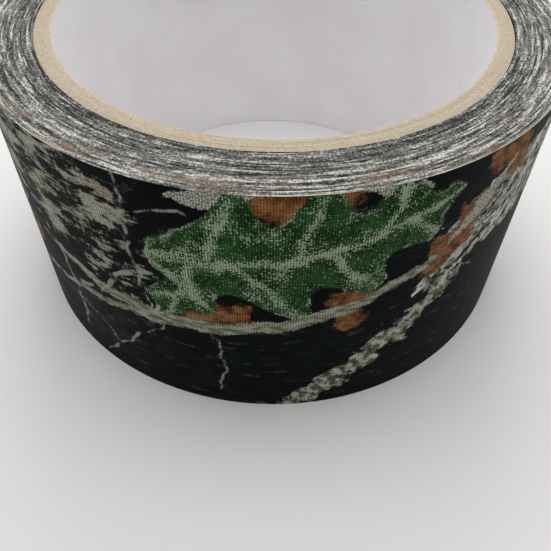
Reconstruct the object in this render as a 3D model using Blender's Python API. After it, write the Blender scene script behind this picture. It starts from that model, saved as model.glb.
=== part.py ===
"""A roll of cloth duct tape: a spiral-wound paperboard core with one strip of tape wound on it.

The roll stands on its side face, with its axis on +Z and its origin at the middle of that face.
The strip goes round 35 times. The turns that stay bonded are one solid, the last turn lies on them,
and its free end is three short leaves, hinged to each other, which peel away from the roll.
"""

import math

import bmesh
import bpy
from mathutils import Vector

MM = 0.001

# The core: a tube of paperboard plies that fits a 3 inch spindle.
CORE_BORE = 76.5 * MM
CORE_LENGTH = 49.6 * MM
LINER_THICKNESS = 0.25 * MM
PLY_THICKNESS = 0.46 * MM
PLY_COUNT = 5
GLUE_LINE = 0.05 * MM
PLY_STRIP_WIDTH = 120 * MM
SEAM_GAP = 0.30 * MM
LINER_SEAM_ANGLE = math.radians(200)  # where the liner's seam starts, at the bottom of the core
SEAM_STAGGER = math.radians(135)  # from each ply's seam to the next one's

# The tape: its width, its thickness with the adhesive, and how many times it goes round.
TAPE_WIDTH = 50.0 * MM
TURN_PITCH = 0.25 * MM
TURN_GAP = 0.05 * MM
TURNS = 35

# The free end of the strip, in leaves that are joined by hinges.
LEAVES = 3
LEAF_ANGLE = math.radians(15)
HINGE_GAP = 0.30 * MM
END_ANGLE = math.radians(135)  # where the strip ends, from +X towards +Y

SIDES = 72  # flat facets in a full turn, shared by every round piece
STEP = 2 * math.pi / SIDES

CORE_RADIUS = CORE_BORE / 2 + LINER_THICKNESS + PLY_COUNT * PLY_THICKNESS + PLY_COUNT * GLUE_LINE
TAPE_START_RADIUS = CORE_RADIUS + GLUE_LINE
CORE_BOTTOM = (TAPE_WIDTH - CORE_LENGTH) / 2


def clear_scene():
    for old in list(bpy.data.objects):
        bpy.data.objects.remove(old)


def material(name, colour, roughness):
    """A plain dielectric finish."""
    made = bpy.data.materials.new(name)
    made.use_nodes = True
    shader = made.node_tree.nodes["Principled BSDF"]
    shader.inputs["Base Color"].default_value = (*colour, 1.0)
    shader.inputs["Roughness"].default_value = roughness
    shader.inputs["Metallic"].default_value = 0.0
    return made


def add_object(name, mesh, finish, parent=None):
    made = bpy.data.objects.new(name, mesh)
    bpy.context.scene.collection.objects.link(made)
    mesh.materials.append(finish)
    made.parent = parent
    return made


def finished_mesh(name, bm):
    """A closed mesh with its faces pointing out and its round walls shaded smooth."""
    bmesh.ops.recalc_face_normals(bm, faces=bm.faces)
    mesh = bpy.data.meshes.new(name)
    bm.to_mesh(mesh)
    bm.free()
    mesh.shade_smooth()
    mesh.set_sharp_from_angle(angle=math.radians(30))
    return mesh


def around(radius, angle, z):
    return Vector((radius * math.cos(angle), radius * math.sin(angle), z))


def loft(bm, sections, closed):
    """Skins a run of four-cornered sections, and caps its ends if it isn't closed on itself."""
    rings = [[bm.verts.new(corner) for corner in section] for section in sections]
    pairs = list(zip(rings, rings[1:]))
    if closed:
        pairs.append((rings[-1], rings[0]))
    for first, second in pairs:
        for corner in range(4):
            following = (corner + 1) % 4
            bm.faces.new((first[corner], second[corner], second[following], first[following]))
    if not closed:
        bm.faces.new(rings[0])
        bm.faces.new(reversed(rings[-1]))


def band_section(inner, outer, angle, bottom, top):
    return (
        around(inner, angle, bottom),
        around(outer, angle, bottom),
        around(outer, angle, top),
        around(inner, angle, top),
    )


# ---- The core -------------------------------------------------------------------------------


def seam_cutter(name, inner, outer, start_angle):
    """A thin helical ribbon through a ply's wall, where the two edges of its paper strip butt."""
    mean = (inner + outer) / 2
    pitch_angle = math.asin(PLY_STRIP_WIDTH / (2 * math.pi * mean))
    rise = mean * STEP * math.tan(pitch_angle)
    half_opening = SEAM_GAP / math.cos(pitch_angle) / 2
    margin = 1.0 * MM
    steps = math.ceil(CORE_LENGTH / rise) + 2
    bm = bmesh.new()
    sections = []
    for step in range(steps + 1):
        angle = start_angle + step * STEP
        z = CORE_BOTTOM + (step - 1) * rise
        bottom, top = z - half_opening, z + half_opening
        sections.append(band_section(inner - margin, outer + margin, angle, bottom, top))
    loft(bm, sections, closed=False)
    cutter = add_object(name, finished_mesh(name, bm), CUTTER_FINISH)
    cutter.hide_render = True
    cutter.display_type = "WIRE"
    return cutter


def core_ply(name, inner, thickness, seam_angle, finish, parent):
    """One layer of the core: a paper strip wound into a tube, open along its helical butt seam."""
    bm = bmesh.new()
    outer = inner + thickness
    top = CORE_BOTTOM + CORE_LENGTH
    sections = [band_section(inner, outer, i * STEP, CORE_BOTTOM, top) for i in range(SIDES)]
    loft(bm, sections, closed=True)
    ply = add_object(name, finished_mesh(name, bm), finish, parent)
    seam = ply.modifiers.new("butt_seam", "BOOLEAN")
    seam.operation = "DIFFERENCE"
    seam.solver = "EXACT"
    seam.object = seam_cutter(name + "_seam", inner, outer, seam_angle)
    return ply


def build_core(parent):
    """The white liner, which the spindle touches, and the board plies round it."""
    core_ply("core_liner", CORE_BORE / 2, LINER_THICKNESS, LINER_SEAM_ANGLE, LINER_FINISH, parent)
    inner = CORE_BORE / 2 + LINER_THICKNESS + GLUE_LINE
    for number in range(1, PLY_COUNT + 1):
        seam_angle = LINER_SEAM_ANGLE + number * SEAM_STAGGER
        core_ply(f"core_ply_{number}", inner, PLY_THICKNESS, seam_angle, BOARD_FINISH, parent)
        inner += PLY_THICKNESS + GLUE_LINE


# ---- The tape -------------------------------------------------------------------------------


def strip_front(turns):
    """The radius of the strip's adhesive side after that many turns, which run anticlockwise."""
    return TAPE_START_RADIUS + TURN_PITCH * turns


def strip_back(turns):
    """The radius of the strip's printed side after that many turns."""
    return strip_front(turns) + TURN_PITCH - TURN_GAP


def bonded_turns(name, finish, parent):
    """All the turns but the last, pressed into one ring.

    The first turn hugs the core, so the inner wall is round. The outer wall is the back of the turn
    under the last one: a spiral, with a step of one pitch where the last turn starts.
    """
    bm = bmesh.new()
    levels = []
    for z in (0.0, TAPE_WIDTH):
        inner, outer = [], []
        for i in range(SIDES + 1):
            angle = END_ANGLE + i * STEP
            outer.append(bm.verts.new(around(strip_back(TURNS - 2 + i / SIDES), angle, z)))
            if i < SIDES:
                inner.append(bm.verts.new(around(TAPE_START_RADIUS, angle, z)))
        levels.append((inner, outer))
    (low_inner, low_outer), (high_inner, high_outer) = levels
    for i in range(SIDES):
        following = (i + 1) % SIDES
        bm.faces.new((low_inner[i], low_inner[following], high_inner[following], high_inner[i]))
        bm.faces.new((low_outer[i], high_outer[i], high_outer[i + 1], low_outer[i + 1]))
        for inner, outer in levels:
            corners = [inner[i], outer[i], outer[i + 1], inner[following]]
            if i == SIDES - 1:
                corners.insert(3, outer[0])
            bm.faces.new(corners)
    bm.faces.new((low_outer[0], low_outer[SIDES], high_outer[SIDES], high_outer[0]))
    return add_object(name, finished_mesh(name, bm), finish, parent)


def strip_piece(name, start, end, finish, parent, pivot=Vector()):
    """A stretch of the last turn, between two angles measured back from the strip's end.

    Its mesh is placed about the pivot, which is where its parent holds it.
    """
    facets = round((start - end) / STEP)
    bm = bmesh.new()
    sections = []
    for i in range(facets + 1):
        back = start + (end - start) * i / facets
        turns = TURNS - back / (2 * math.pi)
        inner, outer = strip_front(turns), strip_back(turns)
        sections.append(band_section(inner, outer, END_ANGLE - back, 0.0, TAPE_WIDTH))
    loft(bm, sections, closed=False)
    bmesh.ops.translate(bm, verts=bm.verts, vec=-pivot)
    return add_object(name, finished_mesh(name, bm), finish, parent)


def hinge_point(back):
    """The middle of the strip's thickness, at an angle back from its end."""
    turns = TURNS - back / (2 * math.pi)
    return around((strip_front(turns) + strip_back(turns)) / 2, END_ANGLE - back, 0.0)


def build_tape(parent):
    """The bonded turns, the last turn, and the leaves of the free end.

    Each leaf hangs on an empty, which lies on the hinge that joins the leaf to what holds it.
    """
    bonded_turns("tape_winding", TAPE_FINISH, parent)
    clearance = HINGE_GAP / 2 / strip_front(TURNS)
    first_hinge = LEAVES * LEAF_ANGLE
    whole_turn = 2 * math.pi
    strip_piece(
        "tape_last_turn", whole_turn - clearance, first_hinge + clearance, TAPE_FINISH, parent
    )
    held_by, held_at = parent, Vector()
    for number in range(1, LEAVES + 1):
        root = (LEAVES - number + 1) * LEAF_ANGLE
        pivot = hinge_point(root)
        hinge = bpy.data.objects.new(f"free_end_hinge_{number}", None)
        bpy.context.scene.collection.objects.link(hinge)
        hinge.parent = held_by
        hinge.location = pivot - held_at
        tip = root - LEAF_ANGLE
        tip_clearance = clearance if number < LEAVES else 0.0
        strip_piece(
            f"free_end_{number}", root - clearance, tip + tip_clearance, TAPE_FINISH, hinge, pivot
        )
        held_by, held_at = hinge, pivot


clear_scene()
CUTTER_FINISH = material("cutter", (1.0, 0.0, 1.0), 1.0)
LINER_FINISH = material("core_liner", (0.74, 0.73, 0.74), 0.45)
BOARD_FINISH = material("core_board", (0.60, 0.50, 0.38), 0.85)
TAPE_FINISH = material("tape_cloth", (0.05, 0.06, 0.05), 0.55)
ROLL = bpy.data.objects.new("roll", None)
bpy.context.scene.collection.objects.link(ROLL)
build_core(ROLL)
build_tape(ROLL)
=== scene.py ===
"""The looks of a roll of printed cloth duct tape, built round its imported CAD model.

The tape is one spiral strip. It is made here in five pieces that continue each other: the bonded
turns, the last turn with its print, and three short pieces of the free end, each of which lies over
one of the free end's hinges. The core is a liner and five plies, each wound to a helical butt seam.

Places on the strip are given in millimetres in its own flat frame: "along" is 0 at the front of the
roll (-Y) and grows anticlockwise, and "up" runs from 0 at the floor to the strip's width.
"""

import math

import bmesh
import bpy
import numpy as np
from mathutils import Matrix, Vector


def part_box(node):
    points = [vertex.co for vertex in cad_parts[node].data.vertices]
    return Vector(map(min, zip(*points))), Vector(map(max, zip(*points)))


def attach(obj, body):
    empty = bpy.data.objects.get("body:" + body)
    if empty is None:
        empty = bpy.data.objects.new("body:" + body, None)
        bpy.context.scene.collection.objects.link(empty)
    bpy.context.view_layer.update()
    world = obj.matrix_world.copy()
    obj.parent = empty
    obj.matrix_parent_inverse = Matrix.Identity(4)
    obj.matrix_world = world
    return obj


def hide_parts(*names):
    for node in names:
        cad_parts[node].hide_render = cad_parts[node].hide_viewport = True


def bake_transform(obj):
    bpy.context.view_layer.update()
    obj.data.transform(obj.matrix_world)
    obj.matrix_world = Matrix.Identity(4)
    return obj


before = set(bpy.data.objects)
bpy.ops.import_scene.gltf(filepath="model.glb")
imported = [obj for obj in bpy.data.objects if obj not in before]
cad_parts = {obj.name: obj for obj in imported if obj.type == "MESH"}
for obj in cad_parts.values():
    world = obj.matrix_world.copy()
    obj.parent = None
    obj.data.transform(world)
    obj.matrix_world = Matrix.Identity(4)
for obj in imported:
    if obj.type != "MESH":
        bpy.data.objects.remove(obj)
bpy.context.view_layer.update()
MM = 0.001

# ---- Sizes, in millimetres -------------------------------------------------------------------
# Those of the core and the tape repeat the CAD model's, but the seams are closer and the strip
# fills more of its pitch. Heights and radii come from the frame, below.

LINER_THICKNESS = 0.25
PLY_THICKNESS = 0.46
PLY_COUNT = 5
GLUE_LINE = 0.05
PLY_STRIP_WIDTH = 120
SEAM_GAP = 0.06
GLUE_FILL = 0.9 * GLUE_LINE  # how much of the glue line each layer takes up
PLY_TRIM = 0.05  # a ply's upper edge is cut short by this much or up to twice as much
PLY_LIFT = 0.03  # from the floor to a ply's lower corners, before their own trim
LOWER_TRIM = 0.6  # that trim, as a share of the upper edge's
SOFT_EDGE = 0.05  # how far the middle of a ply's cut edge stands out from its corners
PLY_TONES = (1.02, 0.985, 1.0, 0.975, 0.96)
LINER_EDGE_TONE = 1.16
LINER_SEAM_ANGLE = math.radians(200)
SEAM_STAGGER = math.radians(135)

TURN_PITCH = 0.25
STRIP_THICKNESS = 0.225
CUT_BEVEL = 0.05  # of the bonded turns' cut edges
PRINT_BEVEL = 0.03  # of the printed turn's
FILM_EDGE = 0.08  # how far the printed film's side of a cut edge is rounded over
ADHESIVE_EDGE = 0.06
PRINT_GRID = 0.43  # of the mesh that carries the print
LEAST_TRIM = 0.01  # how far a turn's cut edges stand back from the tape's full width
MORE_TRIM = 0.13
TURNS = 35
END_ANGLE = math.radians(135)
LEAF_ANGLE = math.radians(15)
LEAVES = 3
FULL_TURN = 2 * math.pi
FRONT_ANGLE = -math.pi / 2


def radius_of(node):
    """A round node's radius, in millimetres."""
    low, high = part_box(node)
    return (high.x - low.x) / 2 / MM


TAPE_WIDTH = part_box("tape_winding")[1].z / MM
CORE_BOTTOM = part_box("core_liner")[0].z / MM
CORE_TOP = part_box("core_liner")[1].z / MM
BORE_RADIUS = radius_of("core_liner") - LINER_THICKNESS
TAPE_START_RADIUS = radius_of("core_ply_5") + GLUE_LINE
LAST_RADIUS = TAPE_START_RADIUS + TURN_PITCH * (TURNS - 0.5)  # of the strip where it is printed

# ---- Mesh making ----------------------------------------------------------------------------


def lofted(name, sections, finishes, finish_of, ladder_caps=False, **attributes):
    """A closed skin over a row of looped sections, given in millimetres.

    sections has the shape (columns, points in a loop, 3). finish_of gives the material index of the
    faces between each loop point and the next. Each attribute has one value for each point, or
    three. Ladder caps join opposite points of a loop, which suits a loop that isn't flat.
    """
    columns, loop = sections.shape[:2]
    index = np.arange(columns * loop).reshape(columns, loop)
    near, far = index[:-1], index[1:]
    quads = np.stack([near, far, np.roll(far, -1, 1), np.roll(near, -1, 1)], -1).reshape(-1, 4)
    faces = quads.tolist()
    kinds = np.tile(np.asarray(finish_of), near.shape[0]).tolist()
    for ring in (index[0].tolist(), index[-1].tolist()):
        if ladder_caps:
            rungs = range(loop // 2 - 1)
            caps = [[ring[i], ring[i + 1], ring[-2 - i], ring[-1 - i]] for i in rungs]
        else:
            caps = [ring]
        faces += caps
        kinds += [finish_of[-1]] * len(caps)
    mesh = bpy.data.meshes.new(name)
    mesh.from_pydata((sections.reshape(-1, 3) * MM).tolist(), [], faces)
    mesh.polygons.foreach_set("material_index", kinds)
    for label, values in attributes.items():
        values = np.asarray(values, np.float32).reshape(columns * loop, -1)
        if values.shape[1] == 3:
            mesh.attributes.new(label, "FLOAT_VECTOR", "POINT").data.foreach_set("vector", values.ravel())
        else:
            mesh.attributes.new(label, "FLOAT", "POINT").data.foreach_set("value", values.ravel())
    bm = bmesh.new()
    bm.from_mesh(mesh)
    bmesh.ops.recalc_face_normals(bm, faces=bm.faces)
    bm.to_mesh(mesh)
    bm.free()
    mesh.shade_smooth()
    mesh.set_sharp_from_angle(angle=math.radians(35))
    for finish in finishes:
        mesh.materials.append(finish)
    piece = bpy.data.objects.new(name, mesh)
    bpy.context.scene.collection.objects.link(piece)
    return piece


def on_circle(radius, angle, up):
    """Points in millimetres from cylinder coordinates that broadcast together."""
    radius, angle, up = np.broadcast_arrays(radius, angle, up)
    return np.stack([radius * np.cos(angle), radius * np.sin(angle), up], -1)


def drift(position, seed, spacing=1.0):
    """Smooth seeded noise from 0 to 1 along a line, one new value every spacing."""
    count = 4096
    values = np.random.default_rng(seed).random(count)
    place = np.asarray(position) / spacing + 1000  # the line starts well inside the values
    cell = np.floor(place).astype(int)
    share = place - cell
    share = share * share * (3 - 2 * share)
    return values[cell % count] * (1 - share) + values[(cell + 1) % count] * share


# ---- The print's drawing --------------------------------------------------------------------
# A generic woodland of lobed leaves, torn dead ones, branches, twigs and bark. Places are in
# millimetres along and up the strip, angles in degrees. The drawing repeats along the strip.

REPEAT = 166

# Middle, angle of the midrib, length, half width, lobes on each side, and how far it bends.
GREEN_LEAVES = [
    ((5, 38.5), 12, 46, 13.5, 3, 3.0),
    ((-13, 30), -112, 17, 6.5, 1, -1.0),
    ((86, 20), 158, 42, 12.0, 3, -3.0),
]
DEAD_LEAVES = [
    ((3.0, 48.5), 6, 20, 5.5, 2, 0.6),
    ((-8.0, 25.0), 22, 13, 4.4, 1, 0.5),
    ((12.0, 27.5), 78, 13, 4.4, 1, -0.5),
    ((29.0, 36.0), 56, 17, 5.0, 2, 1.0),
    ((37.5, 46.5), -36, 13, 4.6, 1, -0.8),
    ((-51.0, 21.0), 40, 13, 4.4, 1, 0.5),
    ((63.0, 26.0), 66, 20, 5.6, 2, 1.0),
    ((74.0, 8.0), -16, 15, 4.8, 1, -0.6),
    ((108.0, 28.0), -34, 18, 5.4, 2, 0.8),
]
# Pointed pieces: middle, angle, half length, half width.
PALE_PIECES = [
    ((-7.0, 49.0), 10, 7.0, 1.8),
    ((16.5, 49.5), -16, 6.0, 1.5),
    ((32.5, 40.5), 50, 8.0, 1.5),
    ((-16.5, 27.5), 66, 5.0, 1.2),
    ((68.0, 31.0), 62, 7.0, 1.4),
    ((101.0, 34.0), -36, 6.0, 1.3),
]
SHADE_PIECES = [
    ((-13.0, 46.5), 6, 7.0, 4.0),
    ((22.0, 49.0), -24, 8.0, 4.2),
    ((2.0, 30.0), 8, 24.0, 5.0),
    ((-14.0, 33.0), 84, 5.0, 2.2),
    ((86.0, 25.0), -22, 24.0, 9.0),
]
# Half width, then the start, the bend and the end of a smooth curve.
BRANCHES = [
    (1.5, (-38, 26), (-6, 15), (25, 33)),
    (0.8, (-42, 17), (-26, 21), (-14, 20.5)),
    (1.4, (52, 22), (82, 44), (118, 31)),
    (0.8, (84, 36), (92, 43), (95, 51)),
]
LICHEN_BRANCHES = [
    (2.7, (-2, -3), (15, 9), (32, 28)),
    (2.4, (96, -3), (108, 8), (113, 24)),
]
TWIGS = [
    (0.26, (-20, 52), (-22, 38), (-19, 23)),
    (0.20, (-19, 44), (-12, 47), (-6, 44)),
    (0.20, (-33, 2), (-26, 10), (-17, 20)),
    (0.18, (-28, 8), (-31, 13), (-38, 15)),
    (0.18, (-9, 4), (-6, 12), (-9, 20)),
    (0.32, (-41, 30), (-34, 19), (-38, 3)),
    (0.50, (-54, 15), (-42, 15), (-30, 22)),
    (0.24, (-50, 27), (-40, 27), (-24, 23)),
    (0.24, (60, 2), (70, 14), (62, 32)),
    (0.20, (66, 14), (78, 12), (84, 4)),
    (0.40, (104, 4), (97, 18), (101, 48)),
    (0.45, (-17, 33), (-24, 30), (-29, 22)),
    (0.45, (106, 12), (112, 16), (117, 30)),
]
# Ovals: middle, angle, half length, half height.
BARK_PATCHES = [
    ((-40, 42), 0, 29, 11.0),
    ((-28, 31), -8, 18, 6.0),
    ((-21, 22), -10, 11, 4.0),
    ((4, 28), 0, 9, 3.0),
    ((92, 42), 4, 24, 8.0),
    ((60, 13), 0, 15, 5.5),
]
DAPPLE_PATCHES = [
    ((44, 39), 14, 21, 8.5),
    ((29, 30), 38, 8, 3.6),
    ((62, 44), -12, 13, 4.5),
    ((76, 3), 6, 16, 4.0),
]
# Patches of painted sheen, where the ground is lightened as if the film caught the light.
PAINTED_SHEEN_PATCHES = [
    ((-34, 13), 0, 18, 10),
    ((60, 34), 0, 18, 10),
]
OUTSIDE = -9.0  # the fields' value far from every shape


def about(along, up, middle, angle):
    """Places along and across one piece of the drawing, from its middle, at its nearest repeat."""
    x = (along - middle[0] + REPEAT / 2) % REPEAT - REPEAT / 2
    y = up - middle[1]
    c, s = math.cos(math.radians(angle)), math.sin(math.radians(angle))
    return c * x + s * y, c * y - s * x


def lobed_leaf(along, up, middle, angle, length, half_width, lobes, bend):
    """The signed field of a leaf, and how strongly each point belongs to a vein.

    The lobes are waves in the width. They, and the side vein in each, sweep forward to the tip.
    """
    x, y = about(along, up, middle, angle)
    share = np.clip(x / length + 0.5, 0, 1)
    across = y - bend * (2 * share - 1) ** 2
    sweep = 0.6
    lobe_length = length / (lobes + 0.6)
    stagger = np.where(across > 0, 0.35, 0.0)
    phase = (share * length - sweep * np.abs(across)) / lobe_length + stagger
    envelope = np.sin(np.pi * share**0.8) ** 0.6
    edge = half_width * envelope * (0.76 + 0.24 * np.cos(FULL_TURN * phase))
    field = np.minimum(0.8 * (edge - np.abs(across)), length / 2 - np.abs(x))
    midrib = np.exp(-((across / (1.1 - 0.6 * share)) ** 2))
    to_side_vein = np.abs(phase - np.round(phase)) * lobe_length * 0.86
    side_vein = np.exp(-((to_side_vein / 0.75) ** 2)) * np.clip(1.4 - np.abs(across) / half_width, 0, 1)
    return field, np.where(field > 0, np.maximum(midrib, side_vein), 0)


def pointed_piece(along, up, middle, angle, half_length, half_height):
    """The signed field of an oval with pointed ends."""
    x, y = about(along, up, middle, angle)
    side = half_height * (1 - np.clip(x / half_length, -1, 1) ** 2) - np.abs(y)
    return np.minimum(side, half_length - np.abs(x))


def oval(along, up, middle, angle, half_length, half_height):
    """A field that is half_height in the middle of an oval and 0 on its edge."""
    x, y = about(along, up, middle, angle)
    return (1 - np.hypot(x / half_length, y / half_height)) * half_height


def stroke(along, up, half_width, start, bend, end):
    """The signed field of a smooth drawn line, which is widest halfway along."""
    x, y = about(along, up, start, 0)
    steps = 10
    share = np.linspace(0, 1, steps + 1)[:, None]
    first, second = np.subtract(bend, start), np.subtract(end, start)
    line = 2 * share * (1 - share) * first + share**2 * second
    field = np.full(x.shape, OUTSIDE)
    for step, (near, far) in enumerate(zip(line, line[1:])):
        run = far - near
        t = np.clip(((x - near[0]) * run[0] + (y - near[1]) * run[1]) / (run @ run), 0, 1)
        gap = np.hypot(x - near[0] - t * run[0], y - near[1] - t * run[1])
        width = half_width * (0.55 + 0.45 * np.sin(np.pi * (step + t) / steps))
        field = np.maximum(field, width - gap)
    return field


def print_fields(along, up):
    """The drawing's fields at points of the strip, in millimetres, positive inside each shape."""
    # The shapes wander a little, as drawn ones do.
    x = along + 0.35 * np.sin(up * 0.9 + 1.3) + 0.15 * np.sin(up * 2.3)
    y = up + 0.3 * np.sin(x * 0.6) + 0.12 * np.sin(x * 1.7 + 0.7)

    def union(shape, rows):
        return np.maximum.reduce([np.maximum(shape(x, y, *row), OUTSIDE) for row in rows])

    def overlaid(rows):
        leaves = [lobed_leaf(x, y, *row) for row in rows]
        return [np.maximum(np.maximum.reduce(layer), OUTSIDE) for layer in zip(*leaves)]

    leaf, vein = overlaid(GREEN_LEAVES)
    rust, rust_vein = overlaid(DEAD_LEAVES)
    return {
        "leaf": leaf,
        "vein": vein,
        "rust": rust,
        "rust_vein": rust_vein,
        "pale": union(pointed_piece, PALE_PIECES),
        "shade": union(pointed_piece, SHADE_PIECES),
        "branch": union(stroke, BRANCHES),
        "lichen": union(stroke, LICHEN_BRANCHES),
        "twig": union(stroke, TWIGS),
        "bark": union(oval, BARK_PATCHES),
        "dapple": union(oval, DAPPLE_PATCHES),
        # The painted sheen's strength: 0 outside its patches, 1 well inside them.
        "painted_sheen": np.clip(union(oval, PAINTED_SHEEN_PATCHES) / 10, 0, 1),
    }


# ---- Materials ------------------------------------------------------------------------------


def linear(red, green, blue):
    """A colour given as it looks on a screen, 0 to 255, as the shader wants it."""

    def channel(value):
        value = value / 255
        return value / 12.92 if value <= 0.04045 else ((value + 0.055) / 1.055) ** 2.4

    return (channel(red), channel(green), channel(blue), 1.0)


class Finish:
    """A material and short calls for the nodes that it is made of."""

    def __init__(self, name, roughness, specular=0.5):
        self.material = bpy.data.materials.new(name)
        self.material.use_nodes = True
        self.tree = self.material.node_tree
        self.shader = self.tree.nodes["Principled BSDF"]
        self.shader.inputs["Roughness"].default_value = roughness
        self.shader.inputs["Specular IOR Level"].default_value = specular

    def put(self, socket, value):
        if isinstance(value, bpy.types.NodeSocket):
            self.tree.links.new(value, socket)
        else:
            socket.default_value = value

    def node(self, kind, inputs=(), **settings):
        made = self.tree.nodes.new(kind)
        for name, value in settings.items():
            setattr(made, name, value)
        for key, value in dict(inputs).items():
            self.put(made.inputs[key], value)
        return made

    def math(self, operation, first, second=0.0, third=0.0):
        made = self.node("ShaderNodeMath", {0: first, 1: second, 2: third}, operation=operation)
        return made.outputs[0]

    def add(self, *values):
        total = values[0]
        for value in values[1:]:
            total = self.math("ADD", total, value)
        return total

    def times(self, first, second):
        return self.math("MULTIPLY", first, second)

    def stretch(self, vector, x, y, z):
        made = self.node("ShaderNodeVectorMath", {0: vector, 1: (x, y, z)}, operation="MULTIPLY")
        return made.outputs[0]

    def noise(self, vector, scale, detail=2.0, roughness=0.5):
        inputs = {"Vector": vector, "Scale": scale, "Detail": detail, "Roughness": roughness}
        return self.node("ShaderNodeTexNoise", inputs).outputs["Fac"]

    def centred(self, vector, scale, size, detail=2.0):
        """Noise about zero, which reaches about as far as size."""
        return self.math("MULTIPLY_ADD", self.noise(vector, scale, detail), size * 2, -size)

    def ramp(self, value, low, high):
        """0 below low, 1 above high, smooth between them."""
        inputs = {"Value": value, "From Min": low, "From Max": high}
        made = self.node("ShaderNodeMapRange", inputs, interpolation_type="SMOOTHSTEP")
        return made.outputs[0]

    def mix(self, share, first, second):
        made = self.node("ShaderNodeMix", data_type="RGBA")
        self.put(made.inputs["Factor"], share)
        self.put(made.inputs["A"], first)
        self.put(made.inputs["B"], second)
        return [socket for socket in made.outputs if socket.type == "RGBA"][0]

    def darken(self, colour, by):
        """The colour times a number."""
        made = self.node("ShaderNodeVectorMath", operation="SCALE")
        self.put(made.inputs[0], colour)
        self.put(made.inputs["Scale"], by)
        return made.outputs[0]

    def field(self, name):
        return self.node("ShaderNodeAttribute", attribute_name=name).outputs["Fac"]

    def place(self, name):
        return self.node("ShaderNodeAttribute", attribute_name=name).outputs["Vector"]

    def position(self):
        """The object's own position, in millimetres."""
        coordinates = self.node("ShaderNodeTexCoord").outputs["Object"]
        return self.stretch(coordinates, 1 / MM, 1 / MM, 1 / MM)

    def wave(self, value, length):
        """A sine from -1 to 1 that repeats every length."""
        return self.math("SINE", self.times(value, FULL_TURN / length))

    def bump(self, height, distance, strength=1.0):
        inputs = {"Height": height, "Distance": distance * MM, "Strength": strength}
        made = self.node("ShaderNodeBump", inputs)
        self.put(self.shader.inputs["Normal"], made.outputs[0])

    def colour(self, value):
        self.put(self.shader.inputs["Base Color"], value)


THREAD_ALONG = 0.40  # from one cross thread of the cloth to the next
THREAD_UP = 0.52


def weave(finish, flat):
    """The cloth's relief, 0 between threads and 1 on them, and its two sets of threads."""
    split = finish.node("ShaderNodeSeparateXYZ", {0: flat})
    wander = finish.centred(flat, 0.35, 0.12, 1.0)
    along = finish.add(split.outputs[0], wander)
    up = finish.add(split.outputs[1], wander)
    ribs = finish.math("MULTIPLY_ADD", finish.wave(along, THREAD_ALONG), 0.5, 0.5)
    rows = finish.math("MULTIPLY_ADD", finish.wave(up, THREAD_UP), 0.5, 0.5)
    height = finish.add(finish.times(ribs, 0.6), finish.times(rows, 0.4))
    return height, ribs, rows


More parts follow.
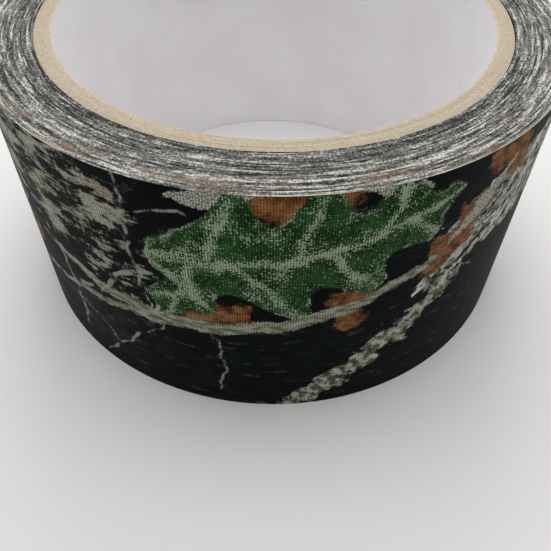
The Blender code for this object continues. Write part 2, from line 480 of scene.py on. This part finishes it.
class WoodlandPrint(Finish):
    """The print on the tape's film. Each layer takes the colour under it and lays itself on top."""

    def __init__(self):
        super().__init__("tape_print", roughness=0.5, specular=0.02)
        self.flat = self.place("flat")
        self.relief, self.ribs, self.rows = weave(self, self.flat)
        self.ragged = self.centred(self.flat, 0.7, 1.3, 4.0)
        self.fine = self.centred(self.flat, 2.4, 0.6, 1.0)
        self.dots = self.noise(self.stretch(self.flat, 1.25, 1.0, 1.0), 2.9, 1.0, 0.6)  # the stipple
        self.clouds = self.noise(self.flat, 0.25, 3.0)
        self.strokes = self.noise(self.stretch(self.flat, 0.30, 1.2, 1.0), 0.6, 4.0, 0.7)

    def torn(self, name, ragged=0.0, fine=0.0):
        """A shape's field, its outline torn by so much of the coarse noise and of the fine."""
        tears = self.add(self.times(self.ragged, ragged), self.times(self.fine, fine))
        return self.add(self.field(name), tears)

    def ground(self):
        """Near-black, with faint dry strokes, and a pale painted sheen in patches, standing in for light
        caught by the film.
        """
        painted_sheen = self.field("painted_sheen")
        colour = self.mix(self.ramp(self.clouds, 0.40, 0.62), linear(8, 13, 14), linear(14, 20, 20))
        # Painted sheen: inside the sheen patches the ground turns pale grey and takes more dry strokes.
        colour = self.mix(self.times(painted_sheen, self.ramp(self.clouds, 0.3, 0.7)), colour, linear(46, 52, 50))
        cover = self.add(self.strokes, self.times(painted_sheen, 0.05))
        dry = self.times(self.ramp(cover, 0.55, 0.70), self.ramp(self.dots, 0.44, 0.58))
        return self.mix(self.times(dry, 0.8), colour, linear(88, 96, 88))

    def bark(self, under):
        """Ragged beige flakes, longer along the strip, which gather inside the bark's ovals."""
        field = self.field("bark")
        longer = self.stretch(self.flat, 0.45, 1.0, 1.0)
        flakes = self.noise(longer, 0.32, 6.0, 0.64)
        across = self.noise(self.stretch(self.flat, 0.4, 1.3, 1.0), 1.2, 3.0)
        upright = self.noise(self.stretch(self.flat, 1.3, 0.45, 1.0), 1.2, 3.0)
        clumps = self.centred(longer, 0.25, 0.13)
        grain = self.add(self.times(across, 0.35), self.times(upright, 0.22), self.times(self.dots, 0.12))
        region = self.ramp(self.add(field, self.centred(self.flat, 0.2, 3.0, 2.0)), -2.0, 3.5)
        gathered = self.add(self.times(region, 0.24), self.times(self.ramp(field, -1.0, 5.0), 0.05))
        level = self.add(self.times(flakes, 0.85), grain, clumps, gathered, -0.562)
        tone = self.mix(self.ramp(level, 0.48, 0.60), linear(108, 108, 97), linear(172, 172, 157))
        tone = self.mix(self.times(self.ramp(self.clouds, 0.40, 0.62), 0.4), tone, linear(176, 174, 158))
        warm = self.ramp(self.noise(self.flat, 0.18, 2.0), 0.56, 0.66)
        tone = self.mix(self.times(warm, 0.35), tone, linear(156, 130, 100))
        tone = self.mix(self.times(self.ramp(self.dots, 0.52, 0.66), 0.8), tone, linear(56, 59, 52))
        return self.mix(self.times(self.ramp(level, 0.46, 0.53), 0.94), under, tone)

    def dapple(self, under):
        """A mossy bark, its flakes slanting up and pitted with dark."""
        turn = {"Vector": self.flat, "Angle": math.radians(-38)}
        slant = self.node("ShaderNodeVectorRotate", turn, rotation_type="Z_AXIS").outputs[0]
        patches = self.noise(self.stretch(slant, 0.45, 1.0, 1.0), 0.55, 5.0, 0.66)
        region = self.ramp(self.torn("dapple", ragged=1.0), -1.0, 1.2)
        gathered = self.math("MULTIPLY_ADD", region, 0.36, -0.365)
        level = self.add(patches, gathered, self.times(self.dots, 0.10))
        tone = self.mix(self.ramp(self.clouds, 0.4, 0.6), linear(128, 130, 116), linear(184, 185, 174))
        tone = self.mix(self.ramp(patches, 0.5, 0.66), tone, linear(206, 207, 198))
        pits = self.add(self.noise(slant, 0.9, 3.0), self.times(self.dots, 0.2))
        tone = self.mix(self.ramp(pits, 0.63, 0.7), tone, linear(52, 58, 48))
        return self.mix(self.ramp(level, 0.45, 0.53), under, tone)

    def shade(self, under):
        """Plain ground round the leaves."""
        return self.mix(self.ramp(self.torn("shade", 0.9, 1.0), -0.2, 0.2), under, linear(9, 14, 14))

    def dead_leaves(self, under):
        """Rust-coloured leaves, torn, with a pale midrib."""
        rust = self.ramp(self.torn("rust", 1.2, 1.0), -0.2, 0.8)
        mottle = self.ramp(self.noise(self.flat, 0.6, 3.0), 0.38, 0.62)
        tone = self.mix(mottle, linear(84, 50, 24), linear(146, 96, 56))
        tone = self.mix(self.ramp(self.dots, 0.48, 0.62), tone, linear(58, 34, 16))
        vein = self.times(self.field("rust_vein"), self.ramp(self.dots, 0.44, 0.60))
        tone = self.mix(self.times(vein, 0.5), tone, linear(170, 126, 84))
        dry = self.times(self.ramp(self.strokes, 0.54, 0.64), 0.35)
        tone = self.mix(dry, tone, linear(168, 132, 96))
        return self.mix(self.times(rust, 0.96), under, tone)

    def pale_strips(self, under):
        """Strips of pale bark beside the leaves."""
        strip = self.ramp(self.torn("pale", 0.6, 0.9), -0.1, 0.25)
        tone = self.mix(self.ramp(self.dots, 0.48, 0.6), linear(176, 174, 162), linear(96, 98, 88))
        return self.mix(self.times(strip, 0.95), under, tone)

    def green_leaves(self, under):
        """Green with darker mottling, and pale stipple that gathers along the veins."""
        field = self.torn("leaf", 0.5, 0.8)
        mottle = self.add(self.clouds, self.times(self.noise(self.flat, 1.0, 2.0), 0.4))
        green = self.mix(self.ramp(mottle, 0.56, 0.84), linear(18, 46, 18), linear(44, 84, 38))
        stipple = self.ramp(self.dots, 0.40, 0.62)
        green = self.mix(self.times(stipple, 0.7), green, linear(26, 56, 24))
        fine_specks = self.times(self.noise(self.flat, 2.2, 2.0, 0.6), 0.5)
        speck = self.add(self.times(self.dots, 0.5), fine_specks, self.times(self.ribs, 0.03))
        worn = self.ramp(self.noise(self.flat, 0.22, 3.0), 0.46, 0.70)
        gathered = self.add(self.times(self.field("vein"), 0.85), self.times(worn, 0.65))
        pale = self.ramp(self.add(speck, self.times(gathered, 0.17)), 0.575, 0.68)
        green = self.mix(self.times(pale, 0.85), green, linear(156, 170, 144))
        from_edge = self.math("ABSOLUTE", self.add(field, -0.35))
        near_edge = self.math("SUBTRACT", 1.0, self.ramp(from_edge, 0.05, 0.6))
        rim = self.times(near_edge, self.ramp(self.noise(self.flat, 0.3, 1.0), 0.5, 0.62))
        rim = self.times(rim, self.ramp(self.dots, 0.38, 0.52))
        green = self.mix(rim, green, linear(148, 158, 138))
        return self.mix(self.ramp(field, -0.15, 0.25), under, green)

    def branches(self, under):
        """Smooth branches, grooved along."""
        branch = self.ramp(self.torn("branch", 0.45, 0.9), -0.15, 0.3)
        grooves = self.noise(self.stretch(self.flat, 0.45, 1.3, 1.0), 0.9, 3.0)
        tone = self.mix(self.ramp(grooves, 0.38, 0.62), linear(100, 102, 85), linear(162, 164, 146))
        tone = self.mix(self.times(self.ramp(self.dots, 0.5, 0.66), 0.5), tone, linear(78, 80, 66))
        return self.mix(branch, under, tone)

    def lichened_branches(self, under):
        """Branches under lichen, their outline broken and their tone in patches."""
        broken = self.add(self.torn("lichen", 1.6, 1.1), self.centred(self.flat, 0.20, 5.0, 3.0))
        patches = self.ramp(self.noise(self.flat, 0.5, 3.0, 0.6), 0.40, 0.60)
        tone = self.mix(patches, linear(82, 90, 66), linear(178, 182, 168))
        spots = self.add(self.noise(self.flat, 0.75, 3.0, 0.6), self.times(self.dots, 0.15))
        tone = self.mix(self.times(self.ramp(spots, 0.58, 0.68), 0.85), tone, linear(36, 46, 30))
        return self.mix(self.ramp(broken, -0.3, 0.5), under, tone)

    def twigs(self, under):
        """Thin pale twigs, faded in places."""
        twig = self.ramp(self.torn("twig", fine=0.3), -0.2, 0.1)
        strength = self.add(self.noise(self.flat, 0.35, 1.0), self.times(self.dots, 0.25))
        twig = self.times(twig, self.ramp(strength, 0.48, 0.66))
        return self.mix(self.times(twig, 0.85), under, linear(154, 158, 146))


def print_finish():
    """A woodland camouflage print on polyethylene film, over a plain cloth weave."""
    f = WoodlandPrint()
    colour = f.ground()
    layers = (
        f.bark, f.dapple, f.shade, f.dead_leaves, f.pale_strips, f.green_leaves, f.branches,
        f.lichened_branches, f.twigs,
    )
    for layer in layers:
        colour = layer(colour)
    # The threads show through as fine dark ribs.
    through = f.add(0.56, f.times(f.ribs, 0.58), f.times(f.rows, 0.22))
    f.colour(f.darken(colour, through))
    f.bump(f.add(f.relief, f.times(f.noise(f.flat, 1.2, 2.0), 0.5)), 0.05, 0.55)
    return f.material


def cut_edge_finish():
    """The cut edges of many layers: pale thread ends, grey film and dark print, streaked along."""
    f = Finish("tape_cut_edge", roughness=0.68, specular=0.3)
    lay = f.place("lay")  # round the roll in millimetres on a fixed circle, and the turn's number
    position = f.position()
    single = f.noise(f.stretch(lay, 0.12, 0.12, 2.1), 1.0, 3.0, 0.6)
    several = f.noise(f.stretch(lay, 0.07, 0.07, 0.5), 1.0, 2.0, 0.55)
    dashes = f.noise(f.stretch(lay, 0.6, 0.6, 3.4), 1.0, 2.0, 0.6)
    grain = f.noise(position, 3.2, 2.0, 0.6)
    split = f.node("ShaderNodeSeparateXYZ", {0: lay})
    turn = split.outputs[2]
    streaks = f.add(f.times(single, 0.70), f.times(several, 0.30), f.times(dashes, 0.30))
    level = f.add(streaks, f.times(grain, 0.50), f.times(f.ramp(turn, 6.0, 24.0), 0.03), -0.415)
    colour = f.mix(f.ramp(level, 0.39, 0.50), linear(28, 30, 31), linear(114, 114, 109))
    colour = f.mix(f.ramp(level, 0.50, 0.67), colour, linear(222, 222, 216))
    # The outer turns are warmer in patches.
    warm = f.noise(f.stretch(lay, 0.15, 0.15, 0.22), 1.0, 2.0, 0.5)
    tint = f.times(f.ramp(warm, 0.50, 0.66), f.ramp(turn, 12.0, 31.0))
    colour = f.mix(f.times(tint, 0.36), colour, linear(164, 130, 100))
    # The last turn's adhesive shows as a cream line in stretches, more of it to the right.
    last = f.ramp(turn, TURNS - 1.6, TURNS - 1.2)
    to_the_right = f.times(split.outputs[0], 0.004)
    stretches = f.add(f.noise(f.stretch(lay, 0.09, 0.09, 0.0), 1.0, 2.0, 0.5), to_the_right)
    cream = f.times(last, f.ramp(stretches, 0.46, 0.58))
    colour = f.mix(f.times(cream, 0.6), colour, linear(196, 192, 172))
    f.colour(colour)
    f.bump(f.add(level, f.times(grain, 0.6)), 0.08, 0.6)
    return f.material


def adhesive_finish():
    """The sticky side: cream rubber adhesive, with the cloth showing through it."""
    f = Finish("tape_adhesive", roughness=0.34, specular=0.5)
    flat = f.place("flat")
    height, _, _ = weave(f, flat)
    cloud = f.ramp(f.noise(flat, 0.3, 3.0), 0.30, 0.70)
    tone = f.mix(cloud, linear(202, 196, 177), linear(216, 211, 195))
    f.colour(f.darken(tone, f.math("MULTIPLY_ADD", height, 0.22, 0.83)))
    f.bump(f.add(height, f.noise(flat, 0.8, 2.0)), 0.06, 0.7)
    return f.material


def board_finish():
    """Kraft paperboard, with fibres, blotches and specks, in a tone for each ply."""
    f = Finish("core_board", roughness=0.88, specular=0.25)
    position = f.position()
    ply = f.field("ply")
    fibres = f.noise(f.stretch(position, 1.0, 1.0, 0.35), 2.6, 3.0, 0.65)
    blotch = f.noise(position, 0.35, 2.0)
    specks = f.ramp(f.noise(position, 4.2, 1.0), 0.63, 0.72)
    tone = f.mix(f.ramp(fibres, 0.34, 0.66), linear(175, 160, 139), linear(195, 182, 163))
    tone = f.mix(f.times(f.ramp(blotch, 0.45, 0.7), 0.3), tone, linear(188, 168, 142))
    tone = f.mix(f.times(specks, 0.45), tone, linear(148, 128, 104))
    f.colour(f.darken(tone, ply))
    f.bump(fibres, 0.08, 0.7)
    return f.material


def liner_finish():
    """White liner paper, smooth, with faint clouds and fibres."""
    f = Finish("core_liner", roughness=0.46, specular=0.4)
    position = f.position()
    cloud = f.noise(position, 0.08, 2.0)
    fibres = f.noise(position, 1.6, 3.0)
    tone = f.mix(f.ramp(cloud, 0.3, 0.7), linear(236, 233, 234), linear(241, 239, 240))
    tone = f.mix(f.times(f.ramp(fibres, 0.5, 0.75), 0.25), tone, linear(228, 224, 223))
    f.colour(tone)
    f.bump(f.add(fibres, f.times(cloud, 2.0)), 0.02, 0.5)
    return f.material


PRINT = print_finish()
CUT_EDGE = cut_edge_finish()
ADHESIVE = adhesive_finish()
BOARD = board_finish()
LINER = liner_finish()

# ---- The core -------------------------------------------------------------------------------


def wound_tube(name, inner, thickness, seam_angle, finishes, tone, seed):
    """A paper strip wound into a tube, its two edges butting along a helical seam.

    The finishes are the walls' and the cut edges'.
    """
    columns, rows = 300, 30
    mean = inner + thickness / 2
    pitch_angle = math.asin(PLY_STRIP_WIDTH / (FULL_TURN * mean))
    turn_per_mm = 1 / (mean * math.tan(pitch_angle))
    half_seam = SEAM_GAP / math.cos(pitch_angle) / 2 * turn_per_mm
    share = np.linspace(0, 1, columns)[:, None]
    up = np.linspace(CORE_BOTTOM, CORE_TOP, rows)[None, :]
    first_edge = seam_angle + (up - CORE_BOTTOM) * turn_per_mm + half_seam
    angle = first_edge + share * (FULL_TURN - 2 * half_seam)
    # Each ply is cut a hair shorter or longer than the next, and its edge is soft. The lower edges
    # reach almost to the floor, so that no dark line shows under them inside the bore.
    trim = PLY_TRIM + PLY_TRIM * drift(angle[:, -1:] * mean, seed, 9.0)
    up = np.repeat(up, columns, 0)
    up[:, -1:] -= trim
    up[:, :1] = PLY_LIFT + LOWER_TRIM * trim
    # The loop runs up the outer wall, over the top edge, down the inner wall and under.
    outer_wall = on_circle(inner + thickness, angle, up)
    top = on_circle(mean, angle[:, -1:], up[:, -1:] + SOFT_EDGE)
    inner_wall = on_circle(inner, angle, up)[:, ::-1]
    bottom = on_circle(mean, angle[:, :1], up[:, :1] - SOFT_EDGE)
    sections = np.concatenate([outer_wall, top, inner_wall, bottom], 1)
    wall, edge = [0] * (rows - 1), [1, 1]
    patchy = 0.05 * (drift(np.arange(columns) * 1.0, seed + 50, 14.0)[:, None] - 0.5)
    ply = np.full(sections.shape[:2], tone) + patchy
    return lofted(name, sections, finishes, wall + edge + wall + edge, ladder_caps=True, ply=ply)


def build_core():
    """The liner, whose cut edge is toned like light board, and the board plies round it."""
    finishes = [LINER, BOARD]
    thickness = LINER_THICKNESS + GLUE_FILL
    liner = wound_tube(
        "liner_paper", BORE_RADIUS, thickness, LINER_SEAM_ANGLE, finishes, LINER_EDGE_TONE, 11
    )
    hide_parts("core_liner")
    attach(liner, "roll")
    inner = BORE_RADIUS + LINER_THICKNESS + GLUE_LINE
    finishes = [BOARD, BOARD]
    thickness = PLY_THICKNESS + GLUE_FILL
    for number, tone in zip(range(1, PLY_COUNT + 1), PLY_TONES):
        seam = LINER_SEAM_ANGLE + number * SEAM_STAGGER
        ply = wound_tube(f"board_ply_{number}", inner, thickness, seam, finishes, tone, 20 + number)
        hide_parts(f"core_ply_{number}")
        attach(ply, "roll")
        inner += PLY_THICKNESS + GLUE_LINE


# ---- The tape -------------------------------------------------------------------------------


def strip_front(turns):
    """The radius of the adhesive side, in millimetres, that many turns from the core."""
    return TAPE_START_RADIUS + TURN_PITCH * turns


def strip_angle(turns):
    return END_ANGLE + FULL_TURN * turns


def strip_along(turns):
    """The print's distance along the strip, which is 0 at the front of the last turn."""
    front_of_last_turn = TURNS - (END_ANGLE - FRONT_ANGLE) / FULL_TURN
    return (turns - front_of_last_turn) * FULL_TURN * LAST_RADIUS


def lay_of(turns):
    """Where an edge point lies: round a circle of fixed size, and how many turns out."""
    circle = LAST_RADIUS * 0.9
    angle = strip_angle(turns)
    return np.stack([circle * np.cos(angle), circle * np.sin(angle), turns], -1)


def edge_heights(turns):
    """The strip's cut edges. They wander by a tenth of a millimetre or so from turn to turn."""

    def trim(coarse_seed, fine_seed):
        coarse, fine = drift(turns, coarse_seed, 1.0), drift(turns, fine_seed, 0.13)
        return LEAST_TRIM + MORE_TRIM * coarse * (0.6 + 0.4 * fine)

    return trim(5, 6), TAPE_WIDTH - trim(3, 4)


def wound_strip(name, start, end, columns_in_turn):
    """A stretch of the strip with plain walls: only its cut edges are seen."""
    turns = np.linspace(start, end, round((end - start) * columns_in_turn) + 1)
    angle = strip_angle(turns)
    front = strip_front(turns)
    low, high = edge_heights(turns)
    across = [(0.0, CUT_BEVEL), (0.35, 0.0), (0.7, 0.0), (1.0, CUT_BEVEL)]
    lower = [on_circle(front + a * STRIP_THICKNESS, angle, low + b) for a, b in across]
    upper = [on_circle(front + a * STRIP_THICKNESS, angle, high - b) for a, b in reversed(across)]
    sections = np.stack(lower + upper, 1)
    lay = np.repeat(lay_of(turns)[:, None], sections.shape[1], 1)
    return lofted(name, sections, [CUT_EDGE], [0] * sections.shape[1], lay=lay)


def printed_strip(name, start, end):
    """A stretch of the strip whose back carries the print, on a grid fine enough to draw it."""
    length = (end - start) * FULL_TURN * LAST_RADIUS
    turns = np.linspace(start, end, round(length / PRINT_GRID) + 1)[:, None]
    angle = strip_angle(turns)
    front = strip_front(turns)
    back = front + STRIP_THICKNESS
    low, high = edge_heights(turns)
    share = np.linspace(0, 1, round(TAPE_WIDTH / PRINT_GRID) + 1)[None, :]
    up = low + PRINT_BEVEL + (high - low - 2 * PRINT_BEVEL) * share
    printed = on_circle(back, angle, up)
    film, adhesive = back - FILM_EDGE, front + ADHESIVE_EDGE
    top = [on_circle(film, angle, high), on_circle(adhesive, angle, high)]
    inner = [on_circle(front, angle, high - PRINT_BEVEL), on_circle(front, angle, low + PRINT_BEVEL)]
    bottom = [on_circle(adhesive, angle, low), on_circle(film, angle, low)]
    sections = np.concatenate([printed, *top, *inner, *bottom], 1)
    loop = sections.shape[1]
    last = printed.shape[1] - 1
    kinds = [0] * last + [1] * (loop - last)
    kinds[last + 3] = 2  # the inner wall, which is adhesive
    along = np.repeat(strip_along(turns), loop, 1)
    flat = np.stack([along, sections[:, :, 2], 0 * along], -1)
    lay = np.repeat(lay_of(turns[:, 0])[:, None], loop, 1)
    fields = print_fields(along, flat[:, :, 1])
    return lofted(name, sections, [PRINT, CUT_EDGE, ADHESIVE], kinds, flat=flat, lay=lay, **fields)


def hinge_at(number):
    """Turns from the core to a hinge of the free end, the first being nearest the roll."""
    return TURNS - (LEAVES - number + 1) * LEAF_ANGLE / FULL_TURN


def point_on_strip(turns):
    """A point in metres in the middle of the strip's thickness, at the floor."""
    return Vector(on_circle(strip_front(turns) + STRIP_THICKNESS / 2, strip_angle(turns), 0.0) * MM)


def build_tape():
    """The bonded turns, the printed last turn, and the free end's pieces, one over each hinge."""
    half_leaf = LEAF_ANGLE / FULL_TURN / 2
    first_bend = hinge_at(1) - half_leaf
    # The print starts just before it comes out from under the free end.
    print_start = first_bend - 1 - 2 * half_leaf
    winding = wound_strip("bonded_turns", 0, print_start, 220)
    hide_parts("tape_winding")
    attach(winding, "roll")
    last_turn = printed_strip("printed_turn", print_start, first_bend)
    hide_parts("tape_last_turn")
    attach(last_turn, "roll")
    for number in range(1, LEAVES + 1):
        start, bend_end = hinge_at(number) - half_leaf, hinge_at(number) + half_leaf
        end = bend_end if number < LEAVES else TURNS
        leaf = printed_strip(f"free_end_piece_{number}", start, end)
        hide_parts(f"free_end_{number}")
        point_on_strip(start)
        point_on_strip(bend_end)
        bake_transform(leaf)


# ---- The setting ----------------------------------------------------------------------------


def build_floor():
    """A plain pale floor."""
    size = 4.0
    mesh = bpy.data.meshes.new("floor")
    corners = [(-size, -size, 0), (size, -size, 0), (size, size, 0), (-size, size, 0)]
    mesh.from_pydata(corners, [], [(0, 1, 2, 3)])
    floor = bpy.data.objects.new("floor", mesh)
    bpy.context.scene.collection.objects.link(floor)
    finish = Finish("floor", roughness=0.6, specular=0.3)
    finish.shader.inputs["Base Color"].default_value = (0.82, 0.82, 0.815, 1.0)
    mesh.materials.append(finish.material)


# Name, place, size and power of each lamp.
LAMPS = [
    ("lamp_above", (0.0, 0.0, 0.80), 0.60, 2.6),
    ("lamp_left", (-0.45, 0.10, 0.30), 0.30, 0.32),
    ("lamp_right", (0.45, 0.10, 0.30), 0.30, 0.26),
    ("lamp_behind", (0.0, 0.25, 0.30), 0.25, 0.5),
]
LAMP_AIM = Vector((0.0, 0.0, 0.02))


def area_light(name, place, size, power):
    data = bpy.data.lights.new(name, "AREA")
    data.size = size
    data.energy = power
    light = bpy.data.objects.new(name, data)
    light.location = place
    light.rotation_euler = (LAMP_AIM - Vector(place)).to_track_quat("-Z", "Y").to_euler()
    bpy.context.scene.collection.objects.link(light)


def build_light():
    """A soft pale surround, brighter behind the roll than in front, and four soft lamps."""
    world = bpy.data.worlds.new("surround")
    world.use_nodes = True
    bpy.context.scene.world = world
    nodes, links = world.node_tree.nodes, world.node_tree.links
    direction = nodes.new("ShaderNodeSeparateXYZ")
    links.new(nodes.new("ShaderNodeTexCoord").outputs["Generated"], direction.inputs[0])
    strength = nodes.new("ShaderNodeMapRange")
    links.new(direction.outputs[1], strength.inputs["Value"])
    strength.inputs["To Min"].default_value = 0.375
    strength.inputs["To Max"].default_value = 0.85
    links.new(strength.outputs[0], nodes["Background"].inputs["Strength"])
    nodes["Background"].inputs["Color"].default_value = (1.0, 1.0, 1.0, 1.0)
    for name, place, size, power in LAMPS:
        area_light(name, place, size, power)
    bpy.context.scene.view_settings.view_transform = "Standard"


def build_camera():
    """The camera stands in front of the roll, above it, and looks down into the core."""
    place = Vector((0.45, -105.0, 98.74)) * MM
    yaw, pitch, roll = (math.radians(angle) for angle in (0.2, 47.02, 0.91))
    ahead = Vector((math.sin(yaw), math.cos(yaw), 0.0))
    forward = ahead * math.cos(pitch) - Vector((0.0, 0.0, math.sin(pitch)))
    level = Vector((math.cos(yaw), -math.sin(yaw), 0.0))
    right = level * math.cos(roll) + level.cross(forward) * math.sin(roll)
    up = right.cross(forward)
    turned = Matrix((right, up, -forward)).transposed()
    data = bpy.data.cameras.new("camera")
    data.sensor_width = 36.0
    data.lens = 39.76
    data.shift_y = -0.0377
    data.clip_start = 0.002
    data.clip_end = 20.0
    camera = bpy.data.objects.new("camera", data)
    camera.matrix_world = Matrix.Translation(place) @ turned.to_4x4()
    bpy.context.scene.collection.objects.link(camera)
    bpy.context.scene.camera = camera


build_camera()
build_floor()
build_light()
build_core()
build_tape()
